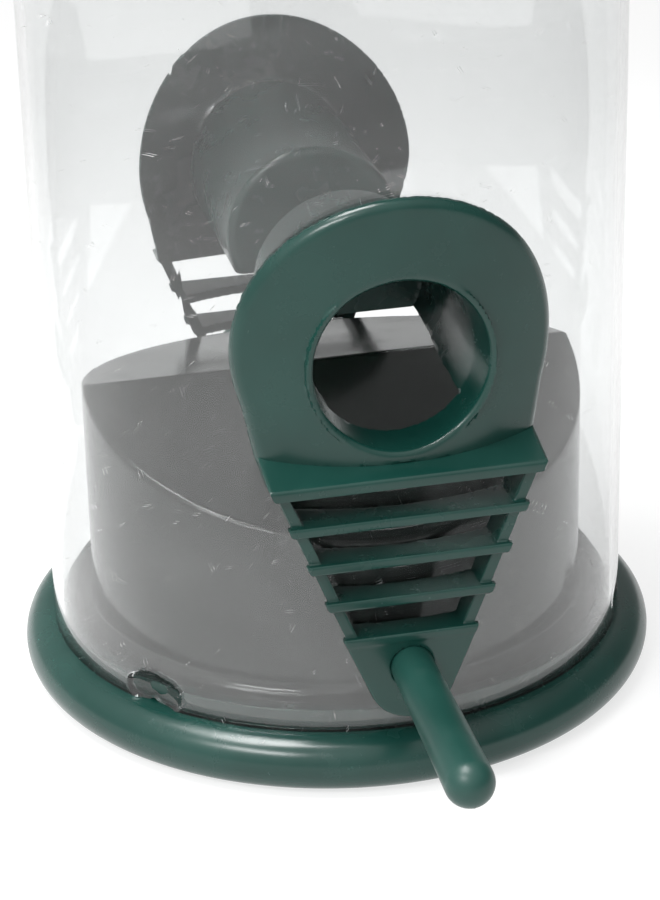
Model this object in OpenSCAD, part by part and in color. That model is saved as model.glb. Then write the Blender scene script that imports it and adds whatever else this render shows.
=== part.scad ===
// Tube feeder for wild birds: clear seed tube on a round base, two ports with
// ladders and perches, a top collar with a lift-off lid and a wire bail.
// Units are millimetres, +Z is up. The origin is the centre of the base on the
// ground, the front port looks along -Y and the rear port along +Y.

/* [Tube] */

// outside diameter of the clear tube
tube_d = 78; // [70:0.5:90]
// wall of the clear tube
tube_wall = 1.2; // [0.8:0.1:2.5]
// length of the clear tube
tube_len = 205; // [150:5:300]
// inward depth of a crimp in the lower edge
crimp_depth = 1.1; // [0.6:0.1:1.6]

/* [Base] */

// height of the tube seat above the ground
seat_z = 7.5; // [6:0.1:12]
// outside diameter of the base bead
base_d = 86.2; // [80:0.2:100]
// height of the spigot inside the tube
spigot_h = 2.7; // [1.5:0.1:6]

/* [Deflector] */

// diameter of the deflector wall
deflector_d = 67; // [60:0.5:70]
// height of the ridge above the tube seat
ridge_h = 35.3; // [25:0.1:45]
// height of the front eaves above the tube seat
eaves_h = 24.6; // [15:0.1:35]
// height of the rear eaves above the tube seat
rear_eaves_h = 26.9; // [15:0.1:35]
// wall of the deflector
deflector_wall = 1.8; // [1.2:0.1:3]

/* [Port] */

// height of the port hole above the tube seat
hole_h = 50.4; // [40:0.1:70]
// bore diameter of the port neck
neck_bore = 20.8; // [14:0.1:24]
// wall of the port neck
neck_wall = 1.5; // [1:0.1:3]
// how much wider the mouth of the neck is than its bore, as a radius
mouth_flare = 1.1; // [0.5:0.1:2]
// distance of the closed end of the hood from the tube axis
hood_end = 8; // [6:0.5:20]
// drop of the open edge of the hood below the hole centre, at the tube wall
hood_drop = 6.7; // [2:0.1:8]
// rise of the open edge of the hood towards the tube axis, in degrees
hood_rise = 3.4; // [0:0.1:6]
// diameter of the round shield
shield_d = 40.2; // [34:0.2:46]
// height of the shield centre above the tube seat
shield_h = 51.7; // [45:0.1:70]
// half width of the shield where it meets the shelf
shield_foot = 17.4; // [14:0.1:20]
// thickness of the shield
shield_t = 1.4; // [1.2:0.1:3]

/* [Ladder] */

// height of the shelf's front edge above the tube seat
shelf_h = 37.1; // [30:0.1:50]
// fall of the shelf towards its front edge, in millimetres per millimetre
shelf_fall = 0.27; // [0:0.01:0.4]
// step from one slat to the next
slat_pitch = 5.36; // [4:0.01:8]
// thickness of a slat
slat_t = 1.3; // [0.8:0.1:2]
// distance of the slat fronts from the tube axis
slat_front = 43; // [41:0.1:46]
// half width of the shelf
shelf_half = 17.5; // [12:0.1:22]
// half width of the lowest ledge
ledge_half = 8.8; // [6:0.1:12]
// thickness of the side rails
rail_t = 1.6; // [1:0.1:3]

/* [Perch] */

// height of the perch above the tube seat, at the ladder
perch_h = 10.9; // [8:0.1:15]
// droop of the perch, in degrees
perch_droop = 3; // [0:0.5:6]
// diameter of the perch at the ladder
perch_d = 5.5; // [4:0.1:8]
// diameter of the rounded perch tip
perch_tip_d = 6.2; // [5:0.1:9]
// distance of the tip centre from the tube axis
perch_reach = 69.4; // [60:0.1:90]

/* [Top] */

// height of the collar above the tube end
collar_rise = 2; // [1:0.1:4]
// length of collar that covers the tube
collar_grip = 11; // [6:0.5:20]
// outside diameter of the collar
collar_d = 84; // [80:0.5:96]
// outside diameter of the lid
lid_d = 87; // [82:0.5:98]
// height of the lid dome
dome_h = 12; // [6:0.5:25]
// wall of the lid
lid_wall = 1.8; // [1.2:0.1:3]
// depth of the lid plug
plug_h = 8; // [4:0.5:16]

/* [Bail] */

// diameter of the bail wire
wire_d = 2.6; // [2:0.1:4]
// half width of the bail
bail_half = 49; // [46:0.5:60]
// height of the straight legs above the pivots
leg_h = 38; // [20:1:80]

/* [Hidden] */

$fn = 96;
eps = 0.01;
fit_gap = 0.05;
tube_r = tube_d / 2;
tube_ri = tube_r - tube_wall;
tube_top = seat_z + tube_len;
bead_r = seat_z / 2;
bead_c = base_d / 2 - bead_r;
spigot_r = tube_ri - fit_gap;
spigot_wall = 1.7;
spigot_top = seat_z + spigot_h;
flange_t = 2;
flange_r = spigot_r - spigot_wall - fit_gap;
ring_inner = 31.6;
deflector_r = deflector_d / 2;
foot_fillet = 1.6;
crimp_angles = [219.4, 339.4, 99.4];
crimp_r = 4.2;
crimp_c = tube_ri - crimp_depth + crimp_r;
crimp_z = seat_z + 1.9;
hole_z = seat_z + hole_h;
neck_ri = neck_bore / 2;
neck_ro = neck_ri + neck_wall;
hood_z = hole_z - hood_drop;
hood_plate = 1.6;
neck_stop = tube_ri - 2.8;
hood_edge = 1;
shield_r = shield_d / 2;
shield_z = seat_z + shield_h;
shield_low = seat_z + shelf_h + 0.7;
port_ri = tube_r + 0.15;
port_ro = port_ri + shield_t;
shelf_z = seat_z + shelf_h;
shelf_t = 1.5;
shelf_front = slat_front + 0.2;
slat_count = 5;
ledge_z = shelf_z - (slat_count - 1) * slat_pitch;
slat_lip = 0.5;
rail_front = slat_front - 0.8;
plate_front = slat_front - 0.1;
plate_t = 1.5;
perch_z = seat_z + perch_h;
plate_tip_r = 5.6;
plate_tip_z = perch_z - 1.65;
plate_lean = 23.3;
boss_r = 5.2;
perch_r = perch_d / 2;
perch_tip_r = perch_tip_d / 2;
perch_spigot_r = 2;
perch_head_r = 2.6;
collar_r = collar_d / 2;
collar_bead = 3.2;
collar_top = tube_top + collar_rise;
collar_low = tube_top - collar_grip;
collar_ri = tube_ri - 1.4;
pivot_z = tube_top - 5;
pivot_boss_r = 4.6;
pivot_boss_x = 46.4;
wire_r = wire_d / 2;
pin_in = 40.2;
lid_r = lid_d / 2;
lid_edge = 3;
dome_r = (pow(lid_r - 2, 2) + dome_h * dome_h) / (2 * dome_h);
plug_r = collar_ri - 0.1;
plug_wall = 1.6;
knob_r = 7;
knob_h = 7;
lid_z = collar_top;

leaf = [0.07, 0.27, 0.21];
clear = [0.88, 0.93, 0.95, 0.3];
steel = [0.72, 0.74, 0.76];

// half width of the ladder outline at height z
function ladder_half(z) =
    ledge_half + (shelf_half - ledge_half) * (z - ledge_z) / (shelf_z - ledge_z);

// round bar along -Y from y0 to y1 (distances from the tube axis)
module toward(y0, y1, z, r0, r1) {
    translate([0, -y0, z])
    rotate([90, 0, 0])
    cylinder(h = y1 - y0, r1 = r0, r2 = r1);
}

// tilts a perch, its hole and its boss about the point where it meets the ladder
module perch_place() {
    translate([0, -slat_front, perch_z])
    rotate([perch_droop, 0, 0])
    translate([0, slat_front, -perch_z])
    children();
}

// spheres that shape the crimps and their pockets
module crimp_balls(r) {
    for (a = crimp_angles) {
        rotate([0, 0, a])
        translate([crimp_c, 0, crimp_z])
        sphere(r = r);
    }
}

module base_ring() {
    color(leaf)
    difference() {
        union() {
            rotate_extrude()
            translate([bead_c, bead_r])
            circle(r = bead_r);
            rotate_extrude()
            translate([ring_inner, 0])
            square([bead_c - ring_inner, seat_z]);
            cylinder(h = spigot_top, r = spigot_r);
        }
        // pocket for the deflector flange
        translate([0, 0, spigot_top - flange_t])
        cylinder(h = flange_t + 1, r = flange_r + fit_gap);
        translate([0, 0, -1])
        cylinder(h = spigot_top + 2, r = ring_inner);
        // channel under the bead keeps the wall even
        rotate_extrude()
        translate([34.4, -1])
        square([3.2, 5.2]);
        // pockets for the crimps, in the spigot only
        intersection() {
            crimp_balls(crimp_r + fit_gap);
            cylinder(h = 30, r = tube_ri);
        }
    }
}

module deflector_profile(r, ridge, eaves, rear_eaves, low) {
    slope = (ridge - eaves) / r;
    rear_slope = (ridge - rear_eaves) / r;
    intersection() {
        translate([0, 0, low])
        cylinder(h = ridge - low + 1, r = r);
        rotate([90, 0, 90])
        linear_extrude(height = 2 * r + 2, center = true)
        polygon([
            [-r - 1, low - 1],
            [r + 1, low - 1],
            [r + 1, rear_eaves - rear_slope],
            [0, ridge],
            [-r - 1, eaves - slope]
        ]);
    }
}

module seed_deflector() {
    ridge = seat_z + ridge_h;
    eaves = seat_z + eaves_h;
    rear_eaves = seat_z + rear_eaves_h;
    low = spigot_top - flange_t;
    color(leaf)
    difference() {
        union() {
            deflector_profile(deflector_r, ridge, eaves, rear_eaves, low);
            translate([0, 0, low])
            cylinder(h = flange_t, r = flange_r);
            // fillet at the foot of the wall
            difference() {
                translate([0, 0, spigot_top - eps])
                cylinder(h = foot_fillet, r = deflector_r + foot_fillet);
                rotate_extrude()
                translate([deflector_r + foot_fillet, spigot_top + foot_fillet])
                circle(r = foot_fillet);
            }
        }
        translate([0, 0, -2])
        deflector_profile(
            deflector_r - deflector_wall,
            ridge + 0.1,
            eaves + 0.1,
            rear_eaves + 0.1,
            low
        );
        translate([0, 0, low - 3])
        cylinder(h = 4, r = deflector_r - deflector_wall);
    }
}

module seed_tube() {
    color(clear)
    difference() {
        union() {
            difference() {
                translate([0, 0, seat_z])
                cylinder(h = tube_len, r = tube_r);
                translate([0, 0, seat_z - 1])
                cylinder(h = tube_len + 2, r = tube_ri);
            }
            intersection() {
                crimp_balls(crimp_r);
                translate([0, 0, seat_z])
                cylinder(h = 10, r = tube_r - 0.2);
            }
        }
        crimp_balls(crimp_r - tube_wall + 0.2);
        // port and perch holes, one pair each side
        for (side = [0, 180]) {
            rotate([0, 0, side]) {
                toward(30, 45, hole_z, neck_ro + fit_gap, neck_ro + fit_gap);
                perch_place()
                toward(30, 45, perch_z, perch_spigot_r + fit_gap, perch_spigot_r + fit_gap);
            }
        }
    }
}

// the shelf falls towards its front edge; its ends follow the ladder's outline
module shelf() {
    back = 28;
    rise = shelf_fall * (shelf_front - back);
    intersection() {
        rotate([90, 0, 90])
        linear_extrude(height = 2 * shelf_half, center = true)
        polygon([
            [-shelf_front, shelf_z],
            [-shelf_front, shelf_z - shelf_t],
            [-back, shelf_z - shelf_t + rise],
            [-back, shelf_z + rise]
        ]);
        rotate([90, 0, 0])
        linear_extrude(height = 60)
        polygon([
            [-ladder_half(shelf_z - shelf_t), shelf_z - shelf_t],
            [ladder_half(shelf_z - shelf_t), shelf_z - shelf_t],
            [shelf_half, shelf_z],
            [shelf_half, shelf_z + 10],
            [-shelf_half, shelf_z + 10],
            [-shelf_half, shelf_z]
        ]);
    }
}

// a slat lies between the rails, and its lip covers their front edges
module slat(z) {
    half = ladder_half(z - slat_t) - slat_lip - 0.2;
    translate([-half, -rail_front - eps, z - slat_t])
    cube([2 * half, rail_front - 28, slat_t]);
    translate([0, -rail_front, 0])
    rotate([90, 0, 0])
    linear_extrude(height = slat_front - rail_front)
    ladder_outline(z - slat_t, z, 0);
}

// trapezoid between two heights, with its half width reduced by inset
module ladder_outline(z0, z1, inset) {
    polygon([
        [-ladder_half(z0) + inset, z0],
        [ladder_half(z0) - inset, z0],
        [ladder_half(z1) - inset, z1],
        [-ladder_half(z1) + inset, z1]
    ]);
}

// lower plate: the ladder outline run down into a round tip
module plate_outline(inset) {
    r = plate_tip_r - inset;
    steps = 16;
    sweep_angle = 180 - 2 * plate_lean;
    polygon(concat(
        [[-ledge_half + inset, ledge_z - 0.2], [ledge_half - inset, ledge_z - 0.2]],
        [for (i = [0 : steps])
            let (a = -plate_lean - i * sweep_angle / steps)
            [r * cos(a), plate_tip_z + r * sin(a)]]
    ));
}

module shield_foot_outline() {
    touch = 11;
    corner_x = shield_r * cos(touch) - 0.2;
    corner_z = shield_z - shield_r * sin(touch);
    polygon([
        [-shield_foot, shield_low - 1],
        [shield_foot, shield_low - 1],
        [corner_x, corner_z],
        [-corner_x, corner_z]
    ]);
}

module port() {
    difference() {
        union() {
            // shield wrapped round the tube: a disc with a foot on the shelf
            intersection() {
                translate([0, 0, shield_low])
                cylinder(h = 60, r = port_ro);
                union() {
                    toward(20, 45, shield_z, shield_r, shield_r);
                    translate([0, -20, 0])
                    rotate([90, 0, 0])
                    linear_extrude(height = 25)
                    shield_foot_outline();
                }
            }
            // shelf and slats
            shelf();
            for (i = [1 : slat_count - 1]) {
                slat(shelf_z - i * slat_pitch);
            }
            // side rails
            translate([0, -28, 0])
            rotate([90, 0, 0])
            linear_extrude(height = rail_front - 28)
            difference() {
                ladder_outline(ledge_z - slat_t, shelf_z + 0.3, slat_lip);
                ladder_outline(ledge_z - slat_t - 1, shelf_z + 1, slat_lip + rail_t);
            }
            // lower plate with its skirt
            translate([0, -plate_front + plate_t, 0])
            rotate([90, 0, 0])
            linear_extrude(height = plate_t)
            plate_outline(0);
            translate([0, -28, 0])
            rotate([90, 0, 0])
            linear_extrude(height = rail_front - 28)
            difference() {
                plate_outline(slat_lip);
                plate_outline(slat_lip + 1.2);
            }
            perch_place()
            toward(30, plate_front - 0.4, perch_z, boss_r, boss_r);
        }
        // the whole front part rests on the tube
        translate([0, 0, -1])
        cylinder(h = 120, r = port_ri);
        toward(20, 50, hole_z, neck_ri, neck_ri);
        toward(neck_stop, port_ro, hole_z, neck_ri, neck_ri + mouth_flare);
        perch_place()
        toward(30, 50, perch_z, perch_r + fit_gap, perch_r + fit_gap);
    }
    neck();
}

// neck through the tube wall: a short full ring, then a closed hood
module neck() {
    difference() {
        union() {
            toward(neck_stop, port_ri + 0.6, hole_z, neck_ro, neck_ro);
            intersection() {
                union() {
                    toward(hood_end, hood_end + hood_edge, hole_z, neck_ro - hood_edge, neck_ro);
                    toward(hood_end + hood_edge, neck_stop + 1, hole_z, neck_ro, neck_ro);
                }
                translate([-20, -neck_stop - 2, hood_z])
                rotate([hood_rise, 0, 0])
                cube([40, 45, 40]);
            }
        }
        toward(hood_end + hood_plate, 50, hole_z, neck_ri, neck_ri);
        toward(neck_stop, port_ro, hole_z, neck_ri, neck_ri + mouth_flare);
    }
}

module front_port() {
    color(leaf)
    port();
}

module rear_port() {
    color(leaf)
    rotate([0, 0, 180])
    port();
}

// peg: rounded rod, spigot through the tube wall and a snap head
module perch() {
    perch_place() {
        toward(port_ri, plate_front + 1, perch_z, perch_r, perch_r);
        toward(plate_front + 1, perch_reach, perch_z, perch_r, perch_tip_r);
        translate([0, -perch_reach, perch_z])
        sphere(r = perch_tip_r);
        toward(tube_ri - 2.4, port_ri + 0.5, perch_z, perch_spigot_r, perch_spigot_r);
        toward(tube_ri - 2.4, tube_ri - 0.9, perch_z, perch_spigot_r, perch_head_r);
        toward(tube_ri - 0.9, tube_ri - 0.4, perch_z, perch_head_r, perch_head_r);
    }
}

module front_perch() {
    color(leaf)
    perch();
}

module rear_perch() {
    color(leaf)
    rotate([0, 0, 180])
    perch();
}

module top_collar() {
    color(leaf)
    difference() {
        union() {
            translate([0, 0, collar_low])
            cylinder(h = collar_top - collar_low, r = collar_r - 1);
            rotate_extrude()
            translate([collar_r - collar_bead, collar_top - collar_bead])
            circle(r = collar_bead);
            // pivot bosses for the bail
            for (side = [0, 180]) {
                rotate([0, 0, side])
                translate([collar_r - 4, 0, pivot_z])
                rotate([0, 90, 0])
                cylinder(h = pivot_boss_x - collar_r + 4, r = pivot_boss_r);
            }
        }
        translate([0, 0, collar_low - 1])
        cylinder(h = 60, r = collar_ri);
        // groove for the tube end
        difference() {
            translate([0, 0, collar_low - 1])
            cylinder(h = collar_grip + 1, r = tube_r + fit_gap);
            translate([0, 0, collar_low - 2])
            cylinder(h = collar_grip + 4, r = tube_ri - fit_gap);
        }
        for (side = [0, 180]) {
            rotate([0, 0, side])
            translate([pin_in - 0.2, 0, pivot_z])
            rotate([0, 90, 0])
            cylinder(h = 20, r = wire_r + fit_gap);
        }
    }
}

module lid() {
    color(leaf)
    translate([0, 0, lid_z])
    difference() {
        union() {
            intersection() {
                translate([0, 0, lid_edge + dome_h - dome_r])
                sphere(r = dome_r, $fn = 192);
                cylinder(h = lid_edge + dome_h + 1, r = lid_r - 1);
            }
            rotate_extrude()
            translate([lid_r - lid_edge / 2, lid_edge / 2])
            circle(d = lid_edge);
            cylinder(h = lid_edge, r = lid_r - lid_edge / 2);
            translate([0, 0, -plug_h])
            cylinder(h = plug_h + 1, r = plug_r);
            // knob on the crown
            translate([0, 0, lid_edge + dome_h - 1])
            cylinder(h = knob_h - 2, r1 = knob_r - 2.6, r2 = knob_r - 1.6);
            translate([0, 0, lid_edge + dome_h + knob_h - 4.4])
            rotate_extrude()
            union() {
                translate([knob_r - 1.5, 0])
                circle(r = 1.5);
                translate([0, -1.5])
                square([knob_r - 1.5, 3]);
            }
        }
        intersection() {
            translate([0, 0, lid_edge + dome_h - dome_r])
            sphere(r = dome_r - lid_wall, $fn = 192);
            translate([0, 0, -plug_h - 1])
            cylinder(h = 60, r = plug_r - plug_wall);
        }
        translate([0, 0, -plug_h - 1])
        cylinder(h = plug_h + 2, r = plug_r - plug_wall);
    }
}

module bail() {
    color(steel)
    translate([0, 0, pivot_z])
    union() {
        for (side = [0, 180]) {
            rotate([0, 0, side]) {
                translate([bail_half, 0, 0])
                cylinder(h = leg_h, r = wire_r);
                translate([bail_half, 0, 0])
                sphere(r = wire_r);
                translate([pin_in, 0, 0])
                rotate([0, 90, 0])
                cylinder(h = bail_half - pin_in, r = wire_r);
            }
        }
        translate([0, 0, leg_h])
        rotate([90, 0, 0])
        rotate_extrude(angle = 180)
        translate([bail_half, 0])
        circle(r = wire_r);
    }
}

base_ring();
seed_deflector();
seed_tube();
front_port();
rear_port();
front_perch();
rear_perch();
top_collar();
lid();
bail();
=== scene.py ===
import math

import bmesh
import bpy
import numpy as np
from mathutils import Matrix, Vector


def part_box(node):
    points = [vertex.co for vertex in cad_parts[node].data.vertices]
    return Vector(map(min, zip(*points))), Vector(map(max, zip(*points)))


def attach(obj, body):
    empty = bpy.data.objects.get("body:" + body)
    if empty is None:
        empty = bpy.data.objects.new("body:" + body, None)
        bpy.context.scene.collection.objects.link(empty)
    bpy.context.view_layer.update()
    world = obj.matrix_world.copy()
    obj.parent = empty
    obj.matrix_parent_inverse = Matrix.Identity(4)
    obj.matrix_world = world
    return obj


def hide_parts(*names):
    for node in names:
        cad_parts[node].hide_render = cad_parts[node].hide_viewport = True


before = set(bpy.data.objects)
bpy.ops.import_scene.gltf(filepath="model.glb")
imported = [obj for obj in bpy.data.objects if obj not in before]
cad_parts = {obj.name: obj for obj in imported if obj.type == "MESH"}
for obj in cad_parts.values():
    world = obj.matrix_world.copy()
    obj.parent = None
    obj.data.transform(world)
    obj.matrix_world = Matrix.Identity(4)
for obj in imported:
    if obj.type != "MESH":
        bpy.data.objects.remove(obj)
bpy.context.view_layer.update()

MM = 0.001
SCENE = bpy.context.scene

# main sizes in millimetres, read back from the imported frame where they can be
TUBE_LO, TUBE_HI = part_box("seed_tube")
TUBE_R = TUBE_HI.x / MM
SEAT_Z = TUBE_LO.z / MM
TUBE_TOP = TUBE_HI.z / MM
TUBE_WALL = 1.2
SHELF_FRONT = -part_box("front_port")[0].y / MM
SLAT_FRONT = SHELF_FRONT - 0.2
RAIL_FRONT = SLAT_FRONT - 0.8
BASE_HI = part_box("base_ring")[1]
BASE_R = BASE_HI.x / MM
SPIGOT_TOP = BASE_HI.z / MM
RIDGE_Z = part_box("seed_deflector")[1].z / MM
HOLE_Z = SEAT_Z + 50.4
NECK_R = 11.9
BORE_R = 10.4
NECK_STOP = TUBE_R - TUBE_WALL - 2.8
HOOD_END = 8.0
HOOD_Z = HOLE_Z - 6.7
HOOD_RISE = math.tan(math.radians(3.4))
SHIELD_Z = SEAT_Z + 51.7
SHIELD_R = 20.1
SHIELD_T = 1.4
SHELF_Z = SEAT_Z + 37.1
SHELF_FALL = 0.27
SHELF_HALF = 17.5
LEDGE_HALF = 8.8
SLAT_PITCH = 5.36
SLAT_T = 1.3
LEDGE_Z = SHELF_Z - 4 * SLAT_PITCH
PERCH_Z = SEAT_Z + 10.9
PERCH_DROOP = math.radians(3)
PERCH_REACH = 69.4
TIP_R = 3.1
CRIMP_ANGLES = (219.4, 339.4, 99.4)


# ---------------------------------------------------------------- mesh tools

def new_object(name, verts, faces):
    """Object made of points in millimetres and faces."""
    mesh = bpy.data.meshes.new(name)
    mesh.from_pydata([tuple(v) for v in np.asarray(verts, float) * MM], [], faces)
    mesh.validate()
    mesh.update()
    ob = bpy.data.objects.new(name, mesh)
    SCENE.collection.objects.link(ob)
    return ob


def shade(ob, degrees):
    """Smooth shading, split at edges that turn by more than the angle."""
    ob.data.polygons.foreach_set("use_smooth", [True] * len(ob.data.polygons))
    ob.data.set_sharp_from_angle(angle=math.radians(degrees))


def weld(ob):
    """Merges points that coincide, drops what has no area and turns all faces outward."""
    bm = bmesh.new()
    bm.from_mesh(ob.data)
    bmesh.ops.remove_doubles(bm, verts=bm.verts, dist=1e-7)
    bmesh.ops.dissolve_degenerate(bm, edges=bm.edges, dist=1e-7)
    bmesh.ops.delete(bm, geom=[e for e in bm.edges if not e.link_faces], context="EDGES")
    bmesh.ops.recalc_face_normals(bm, faces=bm.faces)
    bm.to_mesh(ob.data)
    bm.free()


def keep_largest(ob):
    """Drops the crumbs that a boolean can leave, and keeps the piece itself."""
    bm = bmesh.new()
    bm.from_mesh(ob.data)
    left = set(bm.faces)
    groups = []
    while left:
        stack = [left.pop()]
        group = list(stack)
        while stack:
            for edge in stack.pop().edges:
                for face in edge.link_faces:
                    if face in left:
                        left.remove(face)
                        stack.append(face)
                        group.append(face)
        groups.append(group)
    groups.sort(key=len)
    crumbs = [face for group in groups[:-1] for face in group]
    bmesh.ops.delete(bm, geom=crumbs, context="FACES")
    bm.to_mesh(ob.data)
    bm.free()


def boolean(ob, tool, operation):
    """Applies a boolean of the tool to the object and removes the tool. The mesh keeps its name."""
    mod = ob.modifiers.new("boolean", "BOOLEAN")
    mod.operation = operation
    mod.solver = "MANIFOLD"
    mod.object = tool
    bpy.context.view_layer.update()
    deps = bpy.context.evaluated_depsgraph_get()
    mesh = bpy.data.meshes.new_from_object(ob.evaluated_get(deps))
    ob.modifiers.remove(mod)
    old, name = ob.data, ob.data.name
    ob.data = mesh
    bpy.data.meshes.remove(old)
    bpy.data.objects.remove(tool)
    mesh.name = name


def surface_nets(field, lo, hi, step):
    """Points and quads of field = 0 over a box, with each point moved onto the surface."""
    axes = [np.arange(lo[i], hi[i] + step, step) for i in range(3)]
    grid = np.meshgrid(*axes, indexing="ij")
    v = field(*grid).astype(np.float32)
    inside = v < 0
    n = [len(a) for a in axes]
    total = np.zeros([m - 1 for m in n], np.int8)
    corners = [(i, j, k) for i in (0, 1) for j in (0, 1) for k in (0, 1)]
    for i, j, k in corners:
        total += inside[i:n[0] - 1 + i, j:n[1] - 1 + j, k:n[2] - 1 + k]
    cells = np.argwhere((total > 0) & (total < 8))
    index = np.full(total.shape, -1, np.int64)
    index[tuple(cells.T)] = np.arange(len(cells))
    point = np.zeros((len(cells), 3))
    count = np.zeros(len(cells))
    for a in corners:
        for axis in range(3):
            if a[axis]:
                continue
            b = list(a)
            b[axis] = 1
            va = v[tuple((cells + a).T)]
            vb = v[tuple((cells + b).T)]
            hit = (va < 0) != (vb < 0)
            t = np.where(hit, va / np.where(hit, va - vb, 1), 0)
            at = cells + np.array(a, float)
            at[:, axis] += t
            point += np.where(hit[:, None], at, 0)
            count += hit
    point = np.array(lo) + point / count[:, None] * step
    quads = []
    for axis in range(3):
        p, q = (axis + 1) % 3, (axis + 2) % 3
        low = [slice(None)] * 3
        high = [slice(None)] * 3
        low[axis] = slice(0, n[axis] - 1)
        high[axis] = slice(1, n[axis])
        e = np.argwhere(inside[tuple(low)] != inside[tuple(high)])
        keep = (e[:, p] > 0) & (e[:, q] > 0) & (e[:, p] < n[p] - 1) & (e[:, q] < n[q] - 1)
        e = e[keep]
        ring = []
        for dp, dq in ((-1, -1), (0, -1), (0, 0), (-1, 0)):
            c = e.copy()
            c[:, p] += dp
            c[:, q] += dq
            ring.append(index[tuple(c.T)])
        ring = np.stack(ring, 1)
        flip = ~inside[tuple(e.T)]
        ring[flip] = ring[flip][:, ::-1]
        quads.append(ring)
    quads = np.concatenate(quads)
    # a few Newton steps, none longer than two fifths of the grid
    offsets = np.eye(3) * step * 0.25
    for _ in range(3):
        value = field(*point.T)
        slope = [field(*(point + off).T) - field(*(point - off).T) for off in offsets]
        slope = np.stack(slope, 1) / (step * 0.5)
        steepness = np.maximum((slope ** 2).sum(1), 0.05)
        move = -(value / steepness)[:, None] * slope
        point += np.clip(move, -step * 0.4, step * 0.4)
    return point, quads.tolist()


def round_max(a, b, r):
    """Intersection of two fields with an edge of radius r."""
    u = np.maximum(a + r, 0)
    w = np.maximum(b + r, 0)
    return np.minimum(np.maximum(a, b), -r) + np.hypot(u, w)


def round_min(a, b, r):
    """Union of two fields with a fillet of radius r."""
    return -round_max(-a, -b, r)


def slab(x, half, centre):
    """Field of a flat layer."""
    return np.abs(x - centre) - half


def lathe(name, profile, steps=256):
    """Turns a closed profile of (radius, height) pairs round the tube axis."""
    profile = np.asarray(profile, float)
    m = len(profile)
    ang = np.linspace(0, 2 * np.pi, steps, endpoint=False)
    verts = np.stack([
        np.outer(np.cos(ang), profile[:, 0]),
        np.outer(np.sin(ang), profile[:, 0]),
        np.tile(profile[:, 1], (steps, 1)),
    ], -1).reshape(-1, 3)
    faces = []
    for i in range(steps):
        a, b = i * m, ((i + 1) % steps) * m
        for j in range(m):
            k = (j + 1) % m
            faces.append((a + j, b + j, b + k, a + k))
    ob = new_object(name, verts, faces)
    weld(ob)
    return ob


def arc(cx, cz, r, a0, a1, n):
    """Points on an arc, with the angles in degrees."""
    t = np.radians(np.linspace(a0, a1, n))
    return list(zip(cx + r * np.cos(t), cz + r * np.sin(t)))


def rounded(points, radius, n=5):
    """Rounds every corner of a closed outline. radius is one number or one for each corner."""
    pts = np.asarray(points, float)
    radii = np.broadcast_to(radius, len(pts))
    out = []
    for i, p in enumerate(pts):
        a = pts[i - 1] - p
        b = pts[(i + 1) % len(pts)] - p
        la, lb = np.hypot(*a), np.hypot(*b)
        a, b = a / la, b / lb
        half = math.acos(max(-1, min(1, float(a @ b)))) / 2
        r = radii[i]
        cut = r / max(math.tan(half), 1e-6)
        cut = min(cut, 0.45 * la, 0.45 * lb)
        if r <= 0 or half > 1.55:
            out.append(tuple(p))
            continue
        p0, p1 = p + a * cut, p + b * cut
        for t in np.linspace(0, 1, n + 1):
            q = (1 - t) ** 2 * p0 + 2 * t * (1 - t) * p + t ** 2 * p1
            out.append(tuple(q))
    return out


def sweep(name, path, radius, sides):
    """Round wire along a flat path of points in the XZ plane."""
    path = np.asarray(path, float)
    tangent = np.gradient(path, axis=0)
    tangent /= np.linalg.norm(tangent, axis=1)[:, None]
    normal = np.array([0.0, 1.0, 0.0])
    verts, faces = [], []
    for i, p in enumerate(path):
        n = normal - tangent[i] * (normal @ tangent[i])
        n /= np.linalg.norm(n)
        b = np.cross(tangent[i], n)
        for k in range(sides):
            a = 2 * math.pi * k / sides
            verts.append(p + radius * (math.cos(a) * n + math.sin(a) * b))
    for i in range(len(path) - 1):
        for k in range(sides):
            l = (k + 1) % sides
            faces.append((i * sides + k, i * sides + l, (i + 1) * sides + l, (i + 1) * sides + k))
    faces.append(tuple(range(sides))[::-1])
    last = (len(path) - 1) * sides
    faces.append(tuple(last + k for k in range(sides)))
    return new_object(name, verts, faces)


# ---------------------------------------------------------------- materials

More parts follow.
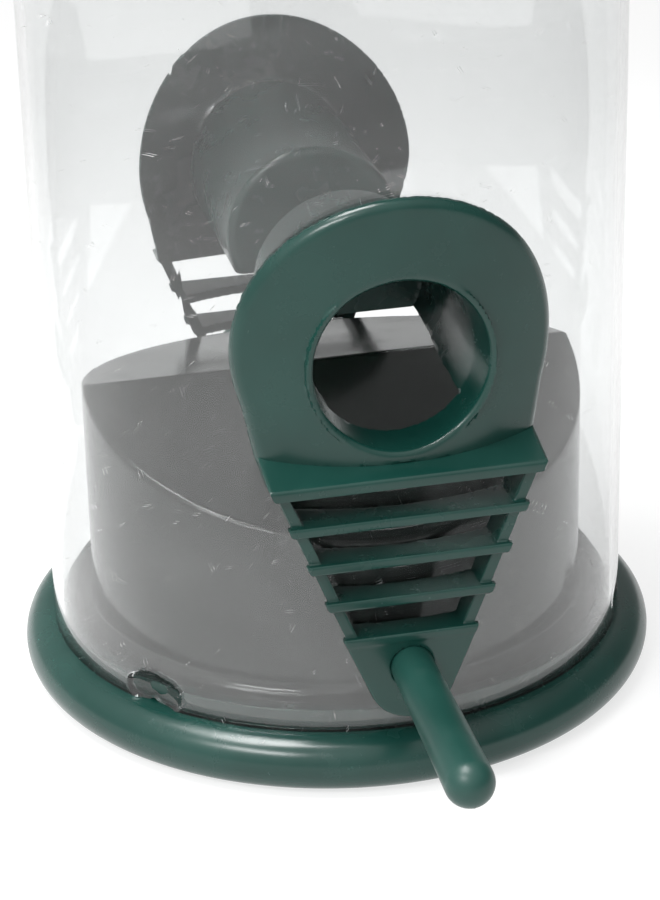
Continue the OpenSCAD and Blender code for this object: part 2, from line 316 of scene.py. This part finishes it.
class Nodes:
    """Short way to build a node tree."""

    def __init__(self, name):
        self.mat = bpy.data.materials.new(name)
        self.mat.use_nodes = True
        self.tree = self.mat.node_tree
        self.tree.nodes.clear()
        out = self.add("ShaderNodeOutputMaterial")
        self.shader = self.add("ShaderNodeBsdfPrincipled")
        self.link(self.shader.outputs[0], out.inputs[0])
        coord = self.add("ShaderNodeTexCoord")
        self.at = coord.outputs["Object"]
        self.uv = coord.outputs["UV"]

    def add(self, kind, **values):
        node = self.tree.nodes.new(kind)
        for key, value in values.items():
            setattr(node, key, value)
        return node

    def link(self, a, b):
        self.tree.links.new(a, b)

    def drive(self, name, value):
        """A texture or a plain value on one of the shader's sockets."""
        if isinstance(value, (int, float)):
            self.shader.inputs[name].default_value = value
        else:
            self.link(value, self.shader.inputs[name])

    def mapped(self, vector, **values):
        t = self.add("ShaderNodeMapping")
        for key, value in values.items():
            t.inputs[key].default_value = value
        self.link(vector, t.inputs["Vector"])
        return t.outputs[0]

    def noise(self, vector, scale, detail=2.0, rough=0.5):
        t = self.add("ShaderNodeTexNoise")
        t.inputs["Scale"].default_value = scale
        t.inputs["Detail"].default_value = detail
        t.inputs["Roughness"].default_value = rough
        self.link(vector, t.inputs["Vector"])
        return t.outputs["Fac"]

    def ramp(self, value, low, high, to_low=0.0, to_high=1.0):
        t = self.add("ShaderNodeMapRange")
        t.interpolation_type = "SMOOTHSTEP"
        t.inputs["From Min"].default_value = low
        t.inputs["From Max"].default_value = high
        t.inputs["To Min"].default_value = to_low
        t.inputs["To Max"].default_value = to_high
        self.link(value, t.inputs["Value"])
        return t.outputs["Result"]

    def math(self, op, a, b):
        t = self.add("ShaderNodeMath", operation=op)
        for i, x in enumerate((a, b)):
            if isinstance(x, (int, float)):
                t.inputs[i].default_value = x
            else:
                self.link(x, t.inputs[i])
        return t.outputs[0]

    def mix(self, fac, a, b):
        t = self.add("ShaderNodeMix", data_type="RGBA")
        self.link(fac, t.inputs["Factor"])
        for key, x in (("A", a), ("B", b)):
            socket = [s for s in t.inputs if s.name == key and s.type == "RGBA"][0]
            if isinstance(x, tuple):
                socket.default_value = (*x, 1)
            else:
                self.link(x, socket)
        return [s for s in t.outputs if s.type == "RGBA"][0]

    def bump(self, height, distance, strength=1.0, normal=None):
        t = self.add("ShaderNodeBump")
        t.inputs["Distance"].default_value = distance
        t.inputs["Strength"].default_value = strength
        self.link(height, t.inputs["Height"])
        if normal is not None:
            self.link(normal, t.inputs["Normal"])
        return t.outputs[0]


def specks(m, scale, size, share):
    """Sparse small dots: 1 inside a dot."""
    v = m.add("ShaderNodeTexVoronoi")
    v.inputs["Scale"].default_value = scale
    m.link(m.at, v.inputs["Vector"])
    dot = m.ramp(v.outputs["Distance"], size, size * 0.6)
    pick = m.add("ShaderNodeSeparateColor")
    m.link(v.outputs["Color"], pick.inputs[0])
    chosen = m.ramp(pick.outputs[0], 1 - share, 1 - share + 0.001)
    return m.math("MULTIPLY", dot, chosen)


def green_plastic(name, colour=(0.0040, 0.031, 0.0245), rough=0.24, grain=1.0):
    """Moulded plastic with faint clouds, worn patches and dust."""
    m = Nodes(name)
    cloud = m.noise(m.at, 90, 3)
    fine = m.noise(m.at, 1500, 3)
    worn = m.ramp(m.noise(m.at, 260, 5, 0.65), 0.52, 0.74)
    dust = specks(m, 420, 0.045, 0.04)
    base = m.mix(m.ramp(cloud, 0.3, 0.7), colour, tuple(c * 1.22 + 0.001 for c in colour))
    base = m.mix(m.math("MULTIPLY", worn, 0.02), base, (0.09, 0.15, 0.13))
    base = m.mix(m.math("MULTIPLY", dust, 0.5), base, (0.42, 0.45, 0.42))
    m.drive("Base Color", base)
    uneven = m.ramp(cloud, 0.3, 0.7, rough - 0.03, rough + 0.04)
    m.drive("Roughness", m.math("ADD", uneven, m.math("MULTIPLY", worn, 0.08)))
    relief = m.bump(fine, 0.000006 * grain, 0.5)
    m.drive("Normal", m.bump(cloud, 0.00010 * grain, 0.25, relief))
    m.drive("IOR", 1.46)
    return m.mat


def hairs(m, angle, stretch, scale, seed):
    """Short hairline scratches that run mostly one way."""
    turned = m.mapped(m.uv, Rotation=(0, 0, math.radians(angle)), Location=(seed, seed * 0.7, 0))
    at = m.mapped(turned, Scale=(1, stretch, 1))
    line = m.math("ABSOLUTE", m.math("SUBTRACT", m.noise(at, scale, 1.0), 0.5), 0)
    line = m.ramp(line, 0.0045, 0.001)
    cut = m.ramp(m.noise(at, scale * 1.7, 2.0), 0.64, 0.70)
    return m.math("MULTIPLY", line, cut)


def clear_plastic():
    """Clear tube with scratches, dust and a very light haze."""
    m = Nodes("clear_tube")
    marks = hairs(m, 72, 0.10, 1300, 0.13)
    for values in ((-20, 0.09, 1500, 0.71), (38, 0.12, 1400, 1.37), (88, 0.07, 1100, 2.11)):
        marks = m.math("MAXIMUM", marks, hairs(m, *values))
    dots = specks(m, 420, 0.05, 0.12)
    marks = m.math("MAXIMUM", marks, m.math("MULTIPLY", dots, 0.8))
    haze = m.ramp(m.noise(m.uv, 60, 4, 0.6), 0.35, 0.75, 0.004, 0.02)
    veil = m.math("ADD", haze, m.math("MULTIPLY", marks, 0.35))
    m.drive("Transmission Weight", m.math("SUBTRACT", 1.0, veil))
    m.drive("Base Color", m.mix(marks, (0.885, 0.895, 0.895), (0.96, 0.96, 0.96)))
    m.drive("Roughness", m.math("ADD", m.math("MULTIPLY", marks, 0.3), 0.02))
    m.drive("Normal", m.bump(m.noise(m.uv, 45, 2), 0.00002, 0.25))
    m.drive("IOR", 1.57)
    return m.mat


def drawn_steel():
    """Steel wire with drawing lines along its height."""
    m = Nodes("bail_steel")
    lines = m.noise(m.mapped(m.at, Scale=(1, 1, 0.04)), 2600, 2)
    cloud = m.noise(m.at, 120, 4)
    m.drive("Base Color", m.mix(m.ramp(cloud, 0.4, 0.7), (0.58, 0.58, 0.57), (0.42, 0.42, 0.41)))
    m.drive("Roughness", m.ramp(lines, 0.3, 0.7, 0.22, 0.36))
    m.drive("Normal", m.bump(lines, 0.00001, 0.4))
    m.drive("Metallic", 1.0)
    return m.mat


def grey(level):
    return (level, level, level)


def floor_material():
    """Pale floor that glows: a painted pool of light, brightest round the feeder, that also washes out
    its shadows.
    """
    m = Nodes("pale_floor_painted_light_pool")
    far = m.add("ShaderNodeVectorMath", operation="LENGTH")
    m.link(m.at, far.inputs[0])
    # painted pool of light: the glow is strongest near the feeder and fades further out
    out = m.ramp(far.outputs["Value"], 0.06, 0.30)
    m.drive("Base Color", m.mix(m.noise(m.at, 6, 3), grey(0.31), grey(0.33)))
    m.drive("Emission Color", m.mix(out, grey(0.70), grey(0.36)))
    m.drive("Emission Strength", 1.0)
    m.drive("Roughness", 0.9)
    return m.mat


GREEN = green_plastic("green_moulded")
# darker copy of the green plastic: painted shade for the deflector deep inside the tube
GREEN_SHADED = green_plastic("green_deflector_painted_shade", colour=(0.0040, 0.0085, 0.0062), rough=0.14, grain=0.2)
# lighter copy of the green plastic: painted light from above on the perches
GREEN_LIT_ROD = green_plastic("green_perch_painted_light", colour=(0.0052, 0.036, 0.0285), rough=0.36)
CLEAR = clear_plastic()
STEEL = drawn_steel()


def finish_piece(ob, material, body, node):
    """Gives a piece its material and puts it in the place of its CAD node."""
    ob.data.materials.clear()
    ob.data.materials.append(material)
    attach(ob, body)
    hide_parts(node)


# ---------------------------------------------------------------- ports

SKIN = TUBE_R + 0.15
FOOT_HALF = 17.4
PLATE_TIP_R = 5.6
PLATE_TIP_Z = PERCH_Z - 1.65
PLATE_LEAN = math.radians(23.3)


def ladder_half(z):
    """Half width of the ladder, which narrows downward."""
    return LEDGE_HALF + (SHELF_HALF - LEDGE_HALF) * (z - LEDGE_Z) / (SHELF_Z - LEDGE_Z)


def perch_axis(x, d, z):
    """Distance from the drooping axis of the perch."""
    across = (d - SLAT_FRONT) * math.sin(PERCH_DROOP) + (z - PERCH_Z) * math.cos(PERCH_DROOP)
    return np.hypot(x, across)


def shield_field(x, y, z):
    """Shield wrapped round the tube, with the neck and its hood."""
    d = -y
    r = np.hypot(x, y)
    rho = np.hypot(x, z - HOLE_Z)
    low = SHELF_Z + 0.7
    edge = np.hypot(x, z - SHIELD_Z) - SHIELD_R
    foot = np.maximum((np.abs(x) - FOOT_HALF) * 0.982 - (z - low + 1) * 0.189, z - SHIELD_Z + 3.84)
    edge = np.minimum(edge, foot)
    shield = round_max(edge, r - SKIN - SHIELD_T, 1.25)
    shield = np.maximum(np.maximum(shield, SKIN - r), np.maximum(low - z, 25 - d))
    ring = round_max(rho - NECK_R, NECK_STOP - d, 0.3)
    hood = round_max(rho - NECK_R, HOOD_END - d, 1.1)
    cut = (HOOD_Z + HOOD_RISE * (NECK_STOP + 2 - d) - z) * 0.998
    hood = round_max(hood, cut, 0.3)
    neck = np.maximum(np.minimum(ring, hood), d - SKIN - 0.8)
    solid = np.minimum(shield, neck)
    flare = np.clip((d - NECK_STOP) / 5.2, 0, 1.4)
    bore = np.minimum((BORE_R + 0.7 * flare - rho) * 0.98, d - HOOD_END - 1.6)
    return round_max(solid, bore, 0.02 + 0.6 * np.clip((d - NECK_STOP - 1) / 2, 0, 1))


def ladder_field(x, y, z):
    """Shelf, slats, rails and the lower plate."""
    d = -y
    side = (np.abs(x) - ladder_half(z)) * 0.927
    top = (z - SHELF_Z - SHELF_FALL * (SHELF_FRONT - d)) * 0.965
    shelf = np.maximum(top, -(top + 1.45))
    shelf = round_max(shelf, d - SHELF_FRONT, 0.3)
    shelf = round_max(shelf, np.maximum(side, np.abs(x) - SHELF_HALF), 0.25)
    parts = shelf
    for i in (1, 2, 3, 4):
        level = slab(z, SLAT_T / 2, SHELF_Z - i * SLAT_PITCH - SLAT_T / 2)
        lip = round_max(round_max(side, d - SLAT_FRONT, 0.3), level, 0.28)
        lip = np.maximum(lip, RAIL_FRONT - 0.4 - d)
        bar = np.maximum(np.maximum(side + 0.6, d - SLAT_FRONT + 0.3), level)
        parts = np.minimum(parts, np.minimum(lip, bar))
    rail = np.maximum(side + 0.46, -(side + 1.9))
    rail = round_max(rail, d - RAIL_FRONT, 0.2)
    rail = np.maximum(rail, np.maximum(top + 0.5, LEDGE_Z - 1 - z))
    parts = np.minimum(parts, rail)
    # lower plate with a round tip and a skirt that runs back to the tube
    knee = PLATE_TIP_Z - PLATE_TIP_R * math.sin(PLATE_LEAN)
    lean = np.interp(z, [knee, LEDGE_Z], [PLATE_TIP_R * math.cos(PLATE_LEAN), LEDGE_HALF])
    round_tip = np.hypot(x, z - PLATE_TIP_Z) - PLATE_TIP_R
    outline = np.where(z > knee, (np.abs(x) - lean) * 0.918, round_tip)
    plate = round_max(outline, d - SLAT_FRONT + 0.1, 0.3)
    plate = np.maximum(plate, SLAT_FRONT - 1.6 - d)
    skirt = np.maximum(np.maximum(outline + 0.5, -(outline + 1.7)), d - RAIL_FRONT)
    rho = perch_axis(x, d, z)
    boss = np.maximum(rho - 5.2, d - SLAT_FRONT + 0.6)
    lower = np.minimum(plate, np.minimum(skirt, boss))
    parts = np.minimum(parts, np.maximum(lower, z - LEDGE_Z + 0.3))
    parts = np.maximum(parts, SKIN - np.hypot(x, y))
    return np.maximum(parts, 2.78 - rho)


def squeeze(z):
    return np.maximum(ladder_half(z), 3) / SHELF_HALF


def squeezed_ladder(u, y, z):
    """The ladder in a frame that narrows with it, so that its edges run straight in the grid."""
    return ladder_field(u * squeeze(z), y, z)


def port(name, sign, shield_mesh, ladder_mesh):
    flip = np.array([sign, sign, 1])
    ob = new_object(name, shield_mesh[0] * flip, shield_mesh[1])
    ladder = new_object("ladder", ladder_mesh[0] * flip, ladder_mesh[1])
    boolean(ob, ladder, "UNION")
    keep_largest(ob)
    shade(ob, 38)
    return ob


shield_mesh = surface_nets(shield_field, (-21.4, -42.0, 44.5), (21.4, -7.0, 80.0), 0.37)
ladder_mesh = surface_nets(squeezed_ladder, (-19.5, -43.8, 10.4), (19.5, -33.8, 48.0), 0.28)
ladder_mesh[0][:, 0] *= squeeze(ladder_mesh[0][:, 2])
front_port = port("port_front", 1, shield_mesh, ladder_mesh)
rear_port = port("port_rear", -1, shield_mesh, ladder_mesh)
finish_piece(front_port, GREEN, "feeder", "front_port")
finish_piece(rear_port, GREEN, "feeder", "rear_port")


# ---------------------------------------------------------------- perches

ROOT_R = 2.74


def perch(name, sign):
    """Peg with a clip at its root, a rod that swells a little and a round tip."""
    slope = (TIP_R - ROOT_R) / (PERCH_REACH - SLAT_FRONT)
    prof = [(0.0, 35.4), (1.9, 35.4), (2.5, 36.3), (2.5, 37.0), (2.0, 37.3), (2.0, 39.3)]
    prof += [(2.55, 39.35), (ROOT_R, 39.6), (ROOT_R, SLAT_FRONT)]
    rod = np.linspace(SLAT_FRONT + 1, PERCH_REACH - 0.8, 22)
    prof += [(ROOT_R + slope * (d - SLAT_FRONT), d) for d in rod]
    tip = np.linspace(0.0, math.pi / 2, 22)
    prof += [(TIP_R * math.cos(a), PERCH_REACH + TIP_R * math.sin(a)) for a in tip[:-1]]
    prof += [(0.0, PERCH_REACH + TIP_R)]
    steps = 96
    verts, faces = [], []
    cos_d, sin_d = math.cos(PERCH_DROOP), math.sin(PERCH_DROOP)
    for r, d in prof:
        for k in range(steps):
            a = 2 * math.pi * k / steps
            # the mould's parting line under the rod stands out by a few hundredths
            seam = 0.0
            if d > 60 and r > 0.4:
                seam = 0.05 * math.exp(-((a - 1.5 * math.pi - 0.06) / 0.05) ** 2)
            x = (r + seam) * math.cos(a)
            v = (r + seam) * math.sin(a)
            out = d - SLAT_FRONT
            y = SLAT_FRONT + out * cos_d + v * sin_d
            verts.append((x * sign, -y * sign, PERCH_Z - out * sin_d + v * cos_d))
    for i in range(len(prof) - 1):
        for k in range(steps):
            l = (k + 1) % steps
            faces.append((i * steps + k, i * steps + l, (i + 1) * steps + l, (i + 1) * steps + k))
    ob = new_object(name, verts, faces)
    weld(ob)
    shade(ob, 50)
    return ob


finish_piece(perch("perch_front", 1), GREEN_LIT_ROD, "feeder", "front_perch")
finish_piece(perch("perch_rear", -1), GREEN_LIT_ROD, "feeder", "rear_perch")


# ---------------------------------------------------------------- deflector

WALL_R = 33.5
FLANGE_R = 36.0
EAVES_Z = SEAT_Z + 24.6
REAR_EAVES_Z = SEAT_Z + 26.9


def deflector_field(x, y, z):
    """Roof-shaped insert, hollow from below, with a flange at its foot."""
    r = np.hypot(x, y)
    pitch = np.where(y < 0, RIDGE_Z - EAVES_Z, RIDGE_Z - REAR_EAVES_Z) / WALL_R
    level = np.hypot(1, pitch)
    roof = (z - RIDGE_Z + pitch * np.abs(y)) / level
    solid = round_max(r - WALL_R, roof, 0.6)
    flange = round_max(r - FLANGE_R, z - SPIGOT_TOP, 0.2)
    solid = round_min(solid, flange, 1.5)
    hollow = np.maximum(r - WALL_R + 1.8, (z - RIDGE_Z + 2.0 + pitch * np.abs(y)) / level)
    solid = np.maximum(solid, -hollow)
    return np.maximum(solid, 8.3 - z)


reach = FLANGE_R + 1.2
deflector_mesh = surface_nets(deflector_field, (-reach, -reach, 7.4), (reach, reach, RIDGE_Z + 1), 0.52)
deflector = new_object("deflector", *deflector_mesh)
shade(deflector, 35)
finish_piece(deflector, GREEN_SHADED, "feeder", "seed_deflector")


# ---------------------------------------------------------------- base

BEAD_R = SEAT_Z / 2
SPIGOT_R = TUBE_R - TUBE_WALL - 0.05
POCKET_R = FLANGE_R + 0.1
POCKET_Z = 8.2
INNER_R = 31.6
# groove under the base, between the ring it stands on and the bead
GROOVE = [(34.3, 0.0), (34.5, 0.3), (34.6, 4.0), (37.4, 4.0), (37.5, 0.3), (37.7, 0.0)]

outer = arc(BASE_R - BEAD_R, BEAD_R, BEAD_R, -90, 90, 28)
inner = [(TUBE_R, SEAT_Z), (SPIGOT_R, SEAT_Z), (SPIGOT_R, SPIGOT_TOP), (POCKET_R, SPIGOT_TOP)]
inner += [(POCKET_R, POCKET_Z), (INNER_R, POCKET_Z), (INNER_R, 0)]
base_profile = outer + rounded(inner, [0, 0.1, 0.25, 0.2, 0.05, 0.4, 0.4]) + GROOVE
base = lathe("base", base_profile, 360)
shade(base, 45)
finish_piece(base, GREEN, "feeder", "base_ring")


# ---------------------------------------------------------------- tube

def off_crimp(degrees, crimp):
    """Signed angle from a crimp, in degrees."""
    return (degrees - crimp + 180) % 360 - 180


def tube_mesh():
    """Tube wall with three crimps pressed into its lower edge."""
    z_rows = np.concatenate([
        np.arange(0, 9.01, 0.25),
        np.arange(10, 70, 1.5),
        np.arange(70, TUBE_TOP - SEAT_Z, 6.0),
        [TUBE_TOP - SEAT_Z],
    ]) + SEAT_Z
    fine = np.concatenate([np.arange(c - 11, c + 11.01, 0.35) for c in CRIMP_ANGLES])
    coarse = [a for a in np.arange(0, 360, 1.5) if min(abs(off_crimp(a, c)) for c in CRIMP_ANGLES) > 11.6]
    angles = np.sort(np.concatenate([fine % 360, coarse]))
    n, m = len(angles), len(z_rows)
    a, zz = np.meshgrid(np.radians(angles), z_rows, indexing="ij")
    dent = np.zeros(a.shape)
    lift = np.zeros(a.shape)
    for c in CRIMP_ANGLES:
        arc_mm = off_crimp(np.degrees(a), c) * math.pi / 180 * TUBE_R
        q = (arc_mm / 4.6) ** 2 + ((zz - SEAT_Z - 1.9) / 2.7) ** 2
        dent += 1.35 * np.clip(1 - q, 0, 1) ** 0.65
        lift += 0.45 * np.exp(-((arc_mm + 0.6) / 0.5) ** 2) * np.exp(-(zz - SEAT_Z) / 1.2)
    verts = []
    for base_r in (TUBE_R, TUBE_R - TUBE_WALL):
        r = base_r - dent
        verts.append(np.stack([r * np.cos(a), r * np.sin(a), zz + lift], -1).reshape(-1, 3))
    faces = []
    inner = n * m
    for i in range(n):
        p, q = i * m, (i + 1) % n * m
        for k in range(m - 1):
            faces.append((p + k, q + k, q + k + 1, p + k + 1))
            faces.append((inner + p + k, inner + p + k + 1, inner + q + k + 1, inner + q + k))
        faces.append((p, inner + p, inner + q, q))
        faces.append((p + m - 1, q + m - 1, inner + q + m - 1, inner + p + m - 1))
    return new_object("tube", np.concatenate(verts), faces)


def cutter(radius, z, sign):
    """Round bar that cuts a hole through one side of the tube."""
    steps = 96
    verts, faces = [], []
    for d in (30.0, 45.0):
        for k in range(steps):
            t = 2 * math.pi * k / steps
            verts.append((radius * math.cos(t), -d * sign, z + radius * math.sin(t)))
    for k in range(steps):
        l = (k + 1) % steps
        faces.append((k, l, steps + l, steps + k))
    faces.append(tuple(range(steps))[::-1])
    faces.append(tuple(range(steps, 2 * steps)))
    ob = new_object("cutter", verts, faces)
    weld(ob)
    return ob


def unwrap_round(ob):
    """UV in metres: round the tube and up it."""
    layer = ob.data.uv_layers.new(name="UVMap")
    for poly in ob.data.polygons:
        c = poly.center
        mid = math.atan2(c.y, c.x)
        for li in poly.loop_indices:
            v = ob.data.vertices[ob.data.loops[li].vertex_index].co
            t = math.atan2(v.y, v.x)
            t = mid + (t - mid + math.pi) % (2 * math.pi) - math.pi
            layer.data[li].uv = (t * TUBE_R * MM, v.z)


tube = tube_mesh()
for sign in (1, -1):
    boolean(tube, cutter(NECK_R + 0.05, HOLE_Z, sign), "DIFFERENCE")
    boolean(tube, cutter(2.1, PERCH_Z + 0.2, sign), "DIFFERENCE")
shade(tube, 35)
unwrap_round(tube)
finish_piece(tube, CLEAR, "feeder", "seed_tube")


# ---------------------------------------------------------------- collar, lid and bail

COLLAR_LO, COLLAR_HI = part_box("top_collar")
COLLAR_LOW = COLLAR_LO.z / MM
COLLAR_TOP = COLLAR_HI.z / MM
COLLAR_R = COLLAR_HI.y / MM
BOSS_X = COLLAR_HI.x / MM
BAIL_LO, BAIL_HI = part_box("bail")
WIRE_R = BAIL_HI.y / MM
PIVOT_Z = BAIL_LO.z / MM + WIRE_R
BAIL_HALF = BAIL_HI.x / MM - WIRE_R
BAIL_TOP = BAIL_HI.z / MM - WIRE_R
LID_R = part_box("lid")[1].x / MM
PIN_IN = 40.2


def collar():
    """Ring on the tube's upper end, with two bosses for the bail."""
    bead_r = 3.2
    wall = COLLAR_R - 1
    bore = TUBE_R - TUBE_WALL - 1.4
    meet = math.degrees(math.acos((wall - COLLAR_R + bead_r) / bead_r))
    groove = [(SPIGOT_R, COLLAR_LOW), (SPIGOT_R, TUBE_TOP)]
    groove += [(TUBE_R + 0.05, TUBE_TOP), (TUBE_R + 0.05, COLLAR_LOW)]
    bulge = arc(COLLAR_R - bead_r, COLLAR_TOP - bead_r, bead_r, -meet, 90, 24)
    corners = [(bore, COLLAR_LOW)] + groove + [(wall, COLLAR_LOW)] + bulge + [(bore, COLLAR_TOP)]
    profile = rounded(corners, [0.3, 0.15, 0, 0, 0.15, 0.4] + [0] * len(bulge) + [0.4])
    ob = lathe("collar", profile, 256)
    boss_r, root, hole_r, hole_end = 4.6, 39.6, WIRE_R + 0.05, PIN_IN - 0.2
    section = [(0, root), (boss_r, root), (boss_r, BOSS_X)]
    section += [(hole_r, BOSS_X), (hole_r, hole_end), (0, hole_end)]
    section = rounded(section, [0, 0, 0.5, 0.2, 0, 0])
    for sign in (1, -1):
        boss = lathe("boss", section, 72)
        turn = Matrix.Translation((0, 0, PIVOT_Z * MM)) @ Matrix.Rotation(sign * math.pi / 2, 4, "Y")
        boss.data.transform(turn)
        weld(boss)
        boolean(ob, boss, "UNION")
    return ob


def lid():
    """Domed lid with a knob, and a plug that fits inside the collar."""
    edge, dome_h, wall, plug_h, knob_r, knob_h = 3.0, 12.0, 1.8, 8.0, 7.0, 7.0
    dome = ((LID_R - 2) ** 2 + dome_h ** 2) / (2 * dome_h)
    centre = COLLAR_TOP + edge + dome_h - dome
    plug = TUBE_R - TUBE_WALL - 1.5
    plug_in = plug - 1.6
    foot = COLLAR_TOP - plug_h

    def on_dome(r, radius):
        return centre + math.sqrt(radius ** 2 - r ** 2)

    top = COLLAR_TOP + edge + dome_h + knob_h - 2.9
    profile = [(0, top - 0.25), (2.5, top - 0.15), (knob_r - 1.5, top)]
    profile += arc(knob_r - 1.5, top - 1.5, 1.5, 80, -85, 16)
    profile += [(5.2, top - 3.05), (4.75, top - 3.3), (4.6, top - 3.8), (4.9, on_dome(5.4, dome) + 0.15)]
    profile += [(r, on_dome(r, dome)) for r in np.linspace(5.6, LID_R - 2.4, 40)]
    profile += arc(LID_R - edge / 2, COLLAR_TOP + edge / 2, edge / 2, 62, -90, 20)
    skirt = [(plug + 0.6, COLLAR_TOP), (plug, COLLAR_TOP - 0.6), (plug, foot), (plug_in, foot)]
    skirt += [(plug_in, on_dome(plug_in, dome - wall))]
    profile += rounded(skirt, [0.2, 0.2, 0.6, 0.4, 0.8])
    profile += [(r, on_dome(r, dome - wall)) for r in np.linspace(plug - 3, 0, 24)]
    return lathe("lid_cap", profile, 256)


def bail():
    """Wire from one pin, up a leg, over the arc and down to the other pin."""
    bend = 3.0
    path = [(PIN_IN, 0, 0), (PIN_IN + 0.4, 0, 0), (43, 0, 0)]
    path += [(x, 0, z) for x, z in arc(BAIL_HALF - bend, bend, bend, -90, 0, 10)]
    leg = BAIL_TOP - BAIL_HALF - PIVOT_Z
    path += [(BAIL_HALF, 0, z) for z in np.linspace(bend + 3, leg - 2, 8)]
    path += [(x, 0, z) for x, z in arc(0, leg, BAIL_HALF, 0, 90, 40)]
    path += [(-x, y, z) for x, y, z in path[::-1][1:]]
    return sweep("bail_wire", np.array(path) + [0, 0, PIVOT_Z], WIRE_R, 28)


collar_piece = collar()
shade(collar_piece, 40)
finish_piece(collar_piece, GREEN, "feeder", "top_collar")
lid_piece = lid()
shade(lid_piece, 40)
finish_piece(lid_piece, GREEN, "lid", "lid")
bail_piece = bail()
shade(bail_piece, 50)
finish_piece(bail_piece, STEEL, "bail", "bail")


# ---------------------------------------------------------------- floor, light, camera

FLOOR_HALF = 4000
corners = [(-1, -1, 0), (1, -1, 0), (1, 1, 0), (-1, 1, 0)]
floor = new_object("floor", np.array(corners) * FLOOR_HALF, [(0, 1, 2, 3)])
floor.data.materials.append(floor_material())
floor.location.z = -0.0002


def studio_world():
    """Soft surroundings: brighter on the left and behind, and brightest up in front."""
    world = bpy.data.worlds.new("studio")
    world.use_nodes = True
    tree = world.node_tree
    sky = tree.nodes["Background"]
    sky.inputs[0].default_value = (1, 1, 1, 1)
    direction = tree.nodes.new("ShaderNodeTexCoord")
    total = tree.nodes.new("ShaderNodeMath")
    total.operation = "ADD"
    sides = ((1.0, -0.35, 0.0), -0.8, 0.8, 0.75, 0.2)
    zenith = ((-0.25, -0.45, 0.857), 0.3, 0.95, 0.0, 0.9)
    for i, (axis, low, high, to_low, to_high) in enumerate((sides, zenith)):
        along = tree.nodes.new("ShaderNodeVectorMath")
        along.operation = "DOT_PRODUCT"
        along.inputs[1].default_value = axis
        level = tree.nodes.new("ShaderNodeMapRange")
        level.inputs["From Min"].default_value = low
        level.inputs["From Max"].default_value = high
        level.inputs["To Min"].default_value = to_low
        level.inputs["To Max"].default_value = to_high
        tree.links.new(direction.outputs["Generated"], along.inputs[0])
        tree.links.new(along.outputs["Value"], level.inputs["Value"])
        tree.links.new(level.outputs[0], total.inputs[i])
    tree.links.new(total.outputs[0], sky.inputs[1])
    return world


SCENE.world = studio_world()


def softbox(name, at, look, width, height, power):
    data = bpy.data.lights.new(name, "AREA")
    data.shape = "RECTANGLE"
    data.size = width
    data.size_y = height
    data.energy = power
    ob = bpy.data.objects.new(name, data)
    SCENE.collection.objects.link(ob)
    ob.location = at
    ob.rotation_euler = (Vector(look) - Vector(at)).to_track_quat("-Z", "Y").to_euler()


softbox("top_soft", (-0.22, 0.0, 0.85), (0, -0.02, 0.03), 0.34, 0.34, 8.5)
softbox("key_soft", (-0.56, -0.52, 0.72), (0, 0, 0.03), 0.45, 0.16, 5.0)


def studio_camera():
    """Camera at the photograph's angle, placed in tube radii from the tube's lower edge."""
    unit = TUBE_R * MM
    distance, height = 9.481, 4.938
    yaw, pitch, roll, turn = (math.radians(v) for v in (-0.09, 24.82, -1.40, 12.6))
    forward = Vector((math.sin(yaw) * math.cos(pitch), math.cos(yaw) * math.cos(pitch), -math.sin(pitch)))
    level = Vector((math.cos(yaw), -math.sin(yaw), 0))
    above = level.cross(forward)
    right = math.cos(roll) * level + math.sin(roll) * above
    up = -math.sin(roll) * level + math.cos(roll) * above
    spin = Matrix.Rotation(-turn, 3, "Z")
    axes = Matrix((spin @ right, spin @ up, -(spin @ forward))).transposed()
    place = spin @ Vector((0, -distance * unit, height * unit)) + Vector((0, 0, SEAT_Z * MM))
    data = bpy.data.cameras.new("camera")
    data.sensor_fit = "HORIZONTAL"
    data.sensor_width = 36
    data.lens = 163.244
    data.shift_x = 0.00273
    data.shift_y = -0.00015
    data.clip_end = 20
    ob = bpy.data.objects.new("camera", data)
    SCENE.collection.objects.link(ob)
    ob.matrix_world = Matrix.Translation(place) @ axes.to_4x4()
    return ob


SCENE.camera = studio_camera()
SCENE.view_settings.view_transform = "Standard"
SCENE.view_settings.look = "None"

bpy.context.view_layer.update()
